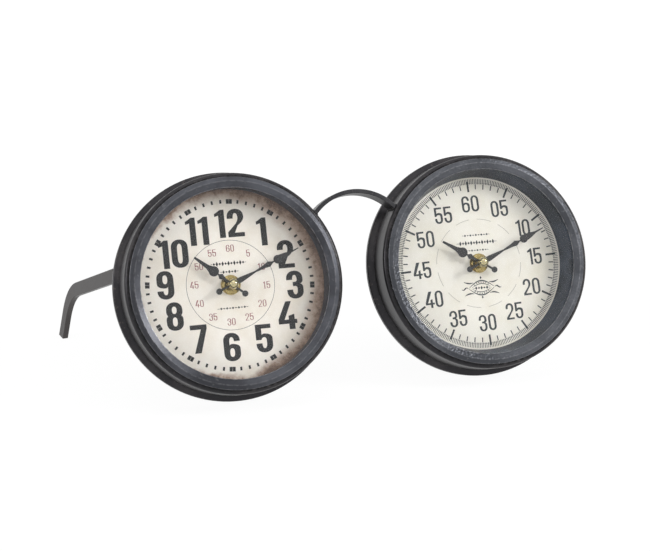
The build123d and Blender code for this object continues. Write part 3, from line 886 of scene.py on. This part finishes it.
class Growth:
    """A geometry node tree with named inputs, which spreads a shape over points."""

    def __init__(self, name: str, inputs: dict[str, str]) -> None:
        """Starts the tree.

        Args:
            name: The tree's name.
            inputs: Input name to its kind.
        """
        self.name = name
        tree = bpy.data.node_groups.new(name, "GeometryNodeTree")
        new_socket = tree.interface.new_socket
        self.identifiers = {
            label: new_socket(label, in_out="INPUT", socket_type="NodeSocket" + kind).identifier
            for label, kind in inputs.items()
        }
        new_socket("Geometry", in_out="OUTPUT", socket_type="NodeSocketGeometry")
        self.wires = Wiring(tree)
        self.start = self.wires.add("NodeGroupInput").outputs

    def spread(self, placing: dict[str, object], finish: Material, moving: dict | None = None) -> None:
        """Ends the tree: shapes on points, made real, moved as one and given their material.

        Args:
            placing: Inputs of Instance on Points.
            finish: The material.
            moving: Inputs of a last Transform, or None.
        """
        w = self.wires
        placed = w.add("GeometryNodeInstanceOnPoints", placing).outputs[0]
        real = w.add("GeometryNodeRealizeInstances", {0: placed}).outputs[0]
        if moving:
            real = w.add("GeometryNodeTransform", {"Geometry": real, **moving}).outputs[0]
        coloured = w.add("GeometryNodeSetMaterial", {"Geometry": real, "Material": finish})
        w.add("NodeGroupOutput", {0: coloured.outputs[0]})

    def grow(self, values: dict[str, object]) -> Mesh:
        """The mesh that the tree makes from its inputs' values."""
        holder = shown(self.name, bpy.data.meshes.new(self.name))
        modifier = holder.modifiers.new(self.name, "NODES")
        modifier.node_group = self.wires.tree
        for label, value in values.items():
            modifier[self.identifiers[label]] = value
        mesh = evaluated(holder)
        holder.modifiers.remove(modifier)
        bpy.data.objects.remove(holder)
        return mesh


@dataclass
class MarkRing:
    """Marks round a dial made by a node tree: bars on a circle, pointing outwards."""

    count: int
    radius: float
    length: float
    width: float
    skip: int = 1000
    turn: float = 0.0

    def growth(self, finish: Material) -> Growth:
        """The node tree."""
        sizes = ("Radius", "Length", "Width", "Height", "Turn")
        made = Growth("mark_ring", {"Count": "Int", "Skip": "Int"} | dict.fromkeys(sizes, "Float"))
        w, start = made.wires, made.start
        values = {"Vertices": start["Count"], "Radius": start["Radius"]}
        circle = w.add("GeometryNodeMeshCircle", values).outputs[0]
        size = w.vector(start["Length"], start["Width"], start["Height"])
        bar = w.add("GeometryNodeMeshCube", {"Size": size}).outputs[0]
        index = w.add("GeometryNodeInputIndex").outputs[0]
        angle = w.times(index, w.math("DIVIDE", ROUND, start["Count"]))
        kept = w.math("GREATER_THAN", w.math("MODULO", w.plus(index, 1.0), start["Skip"]), 0.5)
        placing = {
            "Points": circle, "Instance": bar, "Selection": kept, "Rotation": w.vector(0, 0, angle),
        }
        lift = w.vector(0, 0, w.times(start["Height"], 0.5))
        moving = {"Translation": lift, "Rotation": w.vector(0, 0, start["Turn"])}
        made.spread(placing, finish, moving)
        return made

    def build(self, name: str, finish: Material, clock: ClockFrame) -> Piece:
        """The marks as one printed piece of a dial."""
        values = {
            "Count": self.count,
            "Radius": self.radius * MM,
            "Length": self.length * MM,
            "Width": self.width * MM,
            "Height": INK_HEIGHT * MM,
            "Skip": self.skip,
            "Turn": self.turn,
        }
        mesh = self.growth(finish).grow(values)
        mesh.transform(clock.matrix)
        return keep(mesh, name, finish, "frame")


def circle_line(radius: float, width: float, start: float = 0.0, end: float = 360.0) -> list[Loop]:
    """The outline of a thin circle, or of a stretch of one, between two angles in degrees."""
    steps = max(4, int((end - start) / ARC_STEP_DEGREES))
    angles = [math.radians(start + (end - start) * n / steps) for n in range(steps + 1)]
    radii = (radius + width / 2, radius - width / 2)
    outer, inner = ([(r * math.cos(a), r * math.sin(a)) for a in angles] for r in radii)
    if end - start >= 360.0:
        return [outer[:-1], inner[:-1]]
    return [outer + inner[::-1]]


@dataclass
class HourDial:
    """The left dial: large hour numerals, minute blocks, and small numerals inside a thin circle."""

    clock: ClockFrame
    turn: float = math.radians(-4.6)
    numeral_ring: tuple[float, float] = (55.1, 51.8)
    small_ring: float = 30.8
    inner_circle: Spot = (37.6, 0.32)
    large: Numerals = Numerals(23.6)
    small: Numerals = Numerals(
        5.9, width=0.52, stem=0.13, bar=0.075, gap=0.12, one_width=0.36, foot=0.10,
    )
    mark_radius: float = 70.2
    mark_size: tuple[float, float] = (3.1, 1.75)
    block_size: tuple[float, float] = (3.9, 2.5)
    block_split: float = 0.0188
    bands: tuple[Place, ...] = ((18.2, 15.5, 2.1), (11.2, 8.5, 1.5), (-19.2, 14.0, 1.05))

    def ring_place(self, hour: int, across: float, up: float) -> Spot:
        """The middle of an hour's numeral on an oval ring."""
        angle = ROUND * hour / 12
        return rotated(across * math.sin(angle), up * math.cos(angle), self.turn)

    def build(self) -> None:
        """Prints the dial."""
        ink = INK.material()
        hours, minutes, ornament = [], [], []
        for hour in range(1, 13):
            hours += self.large.word(str(hour), *self.ring_place(hour, *self.numeral_ring))
            small_place = self.ring_place(hour, self.small_ring, self.small_ring)
            minutes += self.small.word(str(hour * 5), *small_place)
        printed(hours, "left_hour_numerals", ink, self.clock)
        printed(minutes, "left_minute_numerals", RED_INK.material(), self.clock)
        printed(circle_line(*self.inner_circle), "left_inner_circle", ink, self.clock)
        for band in self.bands:
            ornament += beaded_band(*band)
        printed(ornament, "left_dial_ornament", ink, self.clock)
        turn = self.turn + math.radians(MINUTE_DEGREES)
        marks = MarkRing(60, self.mark_radius, *self.mark_size, skip=5, turn=turn)
        marks.build("left_minute_marks", ink, self.clock)
        for part, offset in (("a", -self.block_split), ("b", self.block_split)):
            block = MarkRing(12, self.mark_radius, *self.block_size, turn=self.turn + offset)
            block.build("left_five_minute_blocks_" + part, ink, self.clock)


@dataclass
class MinuteDial:
    """The right dial: grey minute numerals, fine scale, faint dashed circle and a crest."""

    clock: ClockFrame
    turn: float = math.radians(2.2)
    numeral_ring: float = 52.0
    digits: Numerals = Numerals(14.2, width=0.50, stem=0.135, bar=0.11, gap=0.10, one_width=0.30)
    minute_mark: Place = (66.6, 4.2, 0.95)
    five_mark: Place = (66.9, 9.2, 1.7)
    hairline: Place = (71.2, 4.6, 0.55)
    scale_line: tuple[float, float] = (69.9, 0.22)
    faint_circle: tuple[float, float] = (38.4, 0.35)
    faint_gap: float = 7.0
    bands: tuple[Place, ...] = ((24.6, 13.0, 1.0), (18.0, 19.0, 2.1), (11.4, 10.5, 1.0))
    crest_y: float = -21.4
    crest_arcs: tuple[Place, ...] = ((6.2, 11.5, 1.1), (3.6, 9.0, 0.7))
    arc_gap: float = 0.4
    beads: Range = (2.1, 4.9, 0.235, 0.7, 0.55)
    wave: Range = (12.2, 0.5, 0.9, 1.1)
    leaf: Range = (7.2, 0.72, 6.6, 2.2, 0.9, 1.2)
    crest_band: Spot = (8.0, 1.6)
    finials: tuple[Place, ...] = ((8.8, 0.9, 1.5), (-8.2, 0.9, 1.3))

    def crest(self) -> list[Loop]:
        """A lens of four arcs with beads, side leaves and a band through its middle."""
        middle, gap, both = self.crest_y, self.arc_gap, (-1, 1)
        loops = []
        for bulge, half, thick in self.crest_arcs:
            for side in both:
                rise = [gap + (bulge - gap) * math.sin(math.pi * n / 24) for n in range(25)]
                arc = [(half * (n / 12 - 1), side * high + middle) for n, high in enumerate(rise)]
                loops.append(ribbon(arc, thick))
        pitch, top, drop, half_width, half_height = self.beads
        for number in range(-3, 4):
            for side in both:
                height = middle + side * (top - drop * number * number)
                loops.append(lozenge(number * pitch, height, half_width, half_height))
        for side in both:
            first, step, swing, thick = self.wave
            wave = [(side * (first + step * n), middle + swing * math.sin(n / 2)) for n in range(13)]
            loops.append(ribbon(wave, thick))
            first, step, top, dip, phase, thick = self.leaf
            highs = [top - dip * math.sin(phase + n / 6) for n in range(13)]
            for bend in both:
                leaf = [(side * (first + step * n), middle + bend * high) for n, high in enumerate(highs)]
                loops.append(ribbon(leaf, thick))
        loops += beaded_band(middle, *self.crest_band)
        for up, half_width, half_height in self.finials:
            loops.append(lozenge(0, middle + up, half_width, half_height))
        return loops

    def build(self) -> None:
        """Prints the dial."""
        ink = GREY_INK.material()
        pale = PALE_INK.material()
        words = []
        for step in range(12):
            angle = ROUND * step / 12 - self.turn
            text = "60" if step == 0 else f"{step * 5:02d}"
            x, y = self.numeral_ring * math.sin(angle), self.numeral_ring * math.cos(angle)
            words += self.digits.word(text, x, y, self.turn)
        printed(words, "right_minute_numerals", ink, self.clock)
        minute = math.radians(MINUTE_DEGREES)
        marks = MarkRing(60, *self.minute_mark, skip=5, turn=self.turn + minute)
        marks.build("right_minute_marks", ink, self.clock)
        fives = MarkRing(12, *self.five_mark, turn=self.turn)
        fives.build("right_five_minute_marks", ink, self.clock)
        hairs = MarkRing(300, *self.hairline, turn=self.turn + math.radians(MINUTE_DEGREES / 10))
        hairs.build("right_hairlines", ink, self.clock)
        printed(circle_line(*self.scale_line), "right_scale_line", ink, self.clock)
        faint, gap = [], self.faint_gap
        for start in range(0, 360, 30):
            faint += circle_line(*self.faint_circle, start + gap, start + 30 - gap / 2)
        printed(faint, "right_faint_circle", pale, self.clock)
        ornament = []
        for band in self.bands:
            ornament += beaded_band(*band)
        printed(ornament + self.crest(), "right_dial_ornament", ink, self.clock)


@dataclass
class WeldBeads:
    """The weld at one end of the bridge: a row of beads in the corner above it and one below."""

    clock: ClockFrame
    strip: Piece
    touch_radius: float = 92.8
    bead_line: float = 92.3
    bead_radius: float = 0.85
    pitch: float = 1.1
    inset: float = 0.9
    size_range: tuple[float, float] = (0.8, 1.15)
    first_seed: int = 3

    def seam(self) -> list[tuple[Vector, Vector, int]]:
        """Where the strip meets the case: first bead, step and count of each corner's row."""
        back = self.clock.matrix.inverted()
        points = [back @ (self.strip.matrix_world @ vertex.co) for vertex in self.strip.data.vertices]
        touching = [p for p in points if math.hypot(p.x, p.y) < self.touch_radius * MM]
        angles = [math.atan2(p.y, p.x) for p in touching]
        low = min(p.z for p in touching) + self.inset * MM
        high = max(p.z for p in touching) - self.inset * MM
        count = int((high - low) / (self.pitch * MM)) + 1
        step = Vector((0.0, 0.0, (high - low) / (count - 1)))
        line = self.bead_line * MM
        firsts = [(line * math.cos(a), line * math.sin(a), low) for a in (min(angles), max(angles))]
        return [(Vector(first), step, count) for first in firsts]

    def growth(self, finish: Material) -> Growth:
        """The node tree of one row of beads."""
        kinds = {"Start": "Vector", "Step": "Vector", "Count": "Int", "Radius": "Float", "Seed": "Int"}
        made = Growth("bead_row", kinds)
        w, start = made.wires, made.start
        values = {"Count": start["Count"], "Start Location": start["Start"], "Offset": start["Step"]}
        line = w.add("GeometryNodeMeshLine", values).outputs[0]
        values = {"Radius": start["Radius"], "Subdivisions": 2}
        bead = w.add("GeometryNodeMeshIcoSphere", values).outputs[0]
        values = {2: self.size_range[0], 3: self.size_range[1], "Seed": start["Seed"]}
        size = w.add("FunctionNodeRandomValue", values, data_type="FLOAT").outputs[1]
        made.spread({"Points": line, "Instance": bead, "Scale": size}, finish)
        return made

    def build(self) -> None:
        """Makes both rows."""
        for number, (first, step, count) in enumerate(self.seam()):
            values = {"Start": first, "Step": step, "Count": count, "Radius": self.bead_radius * MM}
            mesh = self.growth(WELD.material()).grow(values | {"Seed": number + self.first_seed})
            mesh.polygons.foreach_set("use_smooth", [True] * len(mesh.polygons))
            mesh.transform(self.clock.matrix)
            name = f"{self.clock.side.value}_weld_{number}"
            keep(mesh, name, WELD.material(), "frame")


@dataclass
class TaperedWall:
    """The right clock's inner wall, which narrows from the glass down to the dial's scale."""

    clock: ClockFrame
    low_radius: float = 75.4
    high_radius: float = 80.3
    low_z: float = 0.12
    high_z: float = 18.6
    thickness: float = 0.5
    facets: int = 144

    def build(self) -> None:
        """Makes the wall as a closed shell."""
        made = bmesh.new()
        profile = [
            (self.low_radius, self.low_z),
            (self.high_radius, self.high_z),
            (self.high_radius - self.thickness, self.high_z),
            (self.low_radius - self.thickness, self.low_z),
        ]
        turns = [ROUND * n / self.facets for n in range(self.facets)]
        around = [(math.cos(turn) * MM, math.sin(turn) * MM) for turn in turns]
        rings = [[made.verts.new((r * x, r * y, z * MM)) for x, y in around] for r, z in profile]
        for number, ring in enumerate(rings):
            following = rings[(number + 1) % len(rings)]
            for n in range(self.facets):
                m = (n + 1) % self.facets
                made.faces.new((ring[n], ring[m], following[m], following[n]))
        mesh = finished(made, bpy.data.meshes.new("tapered_wall"))
        mesh.transform(self.clock.matrix)
        name = self.clock.side.value + "_tapered_wall"
        keep(mesh, name, LINER.material(self.clock), "frame")


@dataclass
class SlottedScrews:
    """The back cover's screws with slotted heads, in place of the plain solids."""

    clock: ClockFrame
    count: int = 3
    first_angle: float = 30.0
    circle: float = 83.8
    head_radius: float = 2.9
    seat_z: float = -15.2
    head_height: float = 1.6
    slot_half_width: float = 0.35
    slot_depth: float = 0.7
    top_share: float = 0.97
    facets: int = 28
    seed: int = 7

    def head(self) -> Mesh:
        """One head: a disc below and two half discs that leave the slot between them."""
        made = bmesh.new()
        step, half_facets = self.head_height - self.slot_depth, self.facets // 2
        full = [ROUND * n / self.facets for n in range(self.facets)]
        self.prism(made, self.head_radius, full, 0.0, step)
        begin = math.asin(self.slot_half_width / self.head_radius)
        reach = math.pi - 2 * begin
        for side in (0.0, math.pi):
            half = [side + begin + reach * n / half_facets for n in range(half_facets + 1)]
            self.prism(made, self.head_radius * self.top_share, half, step, self.head_height)
        return finished(made, bpy.data.meshes.new("screw_head"))

    @staticmethod
    def prism(
        made: bmesh.types.BMesh, radius: float, angles: list[float], low: float, high: float,
    ) -> None:
        """A closed prism over points of a circle, its z pointing away from the cover."""
        around = [(radius * math.cos(a) * MM, radius * math.sin(a) * MM) for a in angles]
        rings = [[made.verts.new((x, y, -z * MM)) for x, y in around] for z in (low, high)]
        made.faces.new(rings[0])
        made.faces.new(rings[1])
        for n in range(len(around)):
            m = (n + 1) % len(around)
            made.faces.new((rings[0][n], rings[0][m], rings[1][m], rings[1][n]))

    def build(self) -> None:
        """Puts a head at each hole, each turned a little differently, through a node tree."""
        template = shown("screw_head", self.head())
        made = Growth("screw_ring", {"Radius": "Float"})
        w = made.wires
        values = {"Vertices": self.count, "Radius": made.start["Radius"]}
        circle = w.add("GeometryNodeMeshCircle", values).outputs[0]
        head = w.add("GeometryNodeObjectInfo", {"Object": template}).outputs["Geometry"]
        values = {2: 0.0, 3: math.pi, "Seed": self.seed}
        turn = w.add("FunctionNodeRandomValue", values, data_type="FLOAT").outputs[1]
        placing = {"Points": circle, "Instance": head, "Rotation": w.vector(0, 0, turn)}
        made.spread(placing, ZINC.material())
        mesh = made.grow({"Radius": self.circle * MM})
        bpy.data.objects.remove(template)
        turned = Matrix.Rotation(math.radians(self.first_angle), 4, "Z")
        mesh.transform(self.clock.matrix @ turned @ Matrix.Translation((0, 0, self.seat_z * MM)))
        side = self.clock.side.value
        piece = keep(mesh, side + "_slotted_screws", ZINC.material(), "frame")
        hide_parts(side + "_cover_screws")


@dataclass
class Clock:
    """One of the two clocks: its solids' finishes, its printed dial and its screws."""

    clock: ClockFrame
    nodes: dict[str, Piece]
    paper: AgedPaper

    def finish_node(self, node: str, material: Material) -> None:
        """Gives a solid its material."""
        dress(self.nodes[f"{self.clock.side.value}_{node}"].data, material)
        log.info("%s_%s: %s", self.clock.side.value, node, material.name)

    def build(self) -> None:
        """Dresses the clock."""
        for node, finish in NODE_FINISHES.items():
            chosen = HAMMERED_BEZEL if finish is BEZEL and self.clock.side is Side.RIGHT else finish
            self.finish_node(node, chosen.material(self.clock))
        self.finish_node("glass_lens", ClearGlass().material())
        self.finish_node("dial_face", self.paper.material(self.clock))
        SlottedScrews(self.clock).build()
        if self.clock.side is Side.RIGHT:
            TaperedWall(self.clock).build()
        dial = HourDial(self.clock) if self.clock.side is Side.LEFT else MinuteDial(self.clock)
        dial.build()


@dataclass
class Studio:
    """Pale floor, white surroundings, soft lamps and the camera at the photograph's place."""

    camera_place: Place = (-0.4269, -1.4596, 0.5641)
    camera_look: Place = (0.2618, 0.9151, -0.3067)
    clip: Spot = (0.05, 30.0)
    world_strength: float = 0.34
    floor_glow: float = 1.1
    floor_share: float = 0.86
    floor_fade: tuple[float, float] = (0.35, 0.9)
    floor_reach: float = 6.0
    floor_grey: float = 0.86
    aim: Place = (0.0, 0.0, 0.1)
    lamps: tuple[tuple[str, Place, float, float], ...] = (
        ("key_lamp", (1.57, -1.07, 1.22), 0.6, 15.5),
        ("top_lamp", (-0.2, -0.3, 1.9), 1.4, 4.0),
        ("fill_lamp", (-1.7, -0.45, 0.7), 0.5, 5.0),
    )

    def camera(self) -> None:
        """The camera, level, with the photograph's field of view."""
        data = bpy.data.cameras.new("camera")
        data.sensor_width = SENSOR_MM
        data.lens = SENSOR_MM * FOCAL_PX / FRAME_WIDTH_PX
        data.clip_start, data.clip_end = self.clip
        camera = shown("camera", data)
        camera.location = self.camera_place
        camera.rotation_mode = "QUATERNION"
        camera.rotation_quaternion = Vector(self.camera_look).to_track_quat("-Z", "Y")
        bpy.context.scene.camera = camera

    @staticmethod
    def seen(w: Wiring) -> Socket:
        """One where the camera looks, straight or by mirror or glass, and zero for other light."""
        path = w.add("ShaderNodeLightPath")
        first = w.math("MAXIMUM", path.outputs["Is Camera Ray"], path.outputs["Is Glossy Ray"])
        return w.math("MAXIMUM", first, path.outputs["Is Transmission Ray"])

    def world(self) -> None:
        """Even light from all round, seen as white."""
        world = bpy.data.worlds.new("surroundings")
        bpy.context.scene.world = world
        world.use_nodes = True
        world.node_tree.nodes.clear()
        w = Wiring(world.node_tree)
        strength = w.ramp(self.seen(w), 0.0, 1.0, self.world_strength, 1.0)
        light = w.add("ShaderNodeBackground", {"Color": WHITE, "Strength": strength})
        w.add("ShaderNodeOutputWorld", {"Surface": light.outputs[0]})

    def floor(self) -> None:
        """A white floor that keeps the object's shadow."""
        mesh = bpy.data.meshes.new("floor")
        reach = self.floor_reach
        corner_signs = ((-1, -1), (1, -1), (1, 1), (-1, 1))
        mesh.from_pydata([(x * reach, y * reach, 0) for x, y in corner_signs], [], [(0, 1, 2, 3)])
        floor = shown("floor", mesh)
        material, w = new_material("floor_white")
        matt = w.add("ShaderNodeBsdfDiffuse", {"Color": (self.floor_grey,) * 3 + (1.0,)})
        glow = w.add("ShaderNodeEmission", {"Color": WHITE, "Strength": self.floor_glow})
        place = w.add("ShaderNodeTexCoord").outputs["Object"]
        away = w.add("ShaderNodeVectorMath", {0: place}, operation="LENGTH").outputs["Value"]
        share = w.times(self.seen(w), w.ramp(away, *self.floor_fade, self.floor_share, 1.0))
        mixed = w.add("ShaderNodeMixShader", {0: share, 1: matt.outputs[0], 2: glow.outputs[0]})
        w.add("ShaderNodeOutputMaterial", {"Surface": mixed.outputs[0]})
        mesh.materials.append(material)

    def lamp(self, name: str, place: Place, size: float, watts: float) -> None:
        """A square soft lamp aimed at the object."""
        data = bpy.data.lights.new(name, "AREA")
        data.size, data.energy = size, watts
        lamp = shown(name, data)
        lamp.location = place
        lamp.rotation_mode = "QUATERNION"
        lamp.rotation_quaternion = (Vector(self.aim) - Vector(place)).to_track_quat("-Z", "Y")

    def build(self) -> None:
        """Sets up the whole studio."""
        bpy.context.scene.view_settings.view_transform = "Standard"
        self.camera()
        self.world()
        self.floor()
        for lamp in self.lamps:
            self.lamp(*lamp)


def main() -> None:
    """Builds the looks in order: studio, clocks, bridge and temples."""
    logging.basicConfig(level=logging.INFO, format="%(name)s: %(message)s")
    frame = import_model()
    Studio().build()
    papers = {
        Side.LEFT: AgedPaper(),
        # Right dial: narrower edge browning, partly painted shade, leaning right and down.
        Side.RIGHT: AgedPaper(
            paper=(230, 227, 218), warm=(220, 215, 200), stain=(176, 160, 128), rust=(120, 104, 84),
            band_mm=9.0, lean=(0.5, -0.4), amount=0.7,
        ),
    }
    for side in Side:
        place = ClockFrame.read(side, frame)
        Clock(place, frame["nodes"], papers[side]).build()
        WeldBeads(place, frame["nodes"]["bridge_strip"]).build()
    strips = {"bridge_strip": BRIDGE, "left_temple_arm": TEMPLE, "right_temple_arm": TEMPLE}
    for node, finish in strips.items():
        dress(frame["nodes"][node].data, finish.material())


if __name__ == "__main__":
    main()
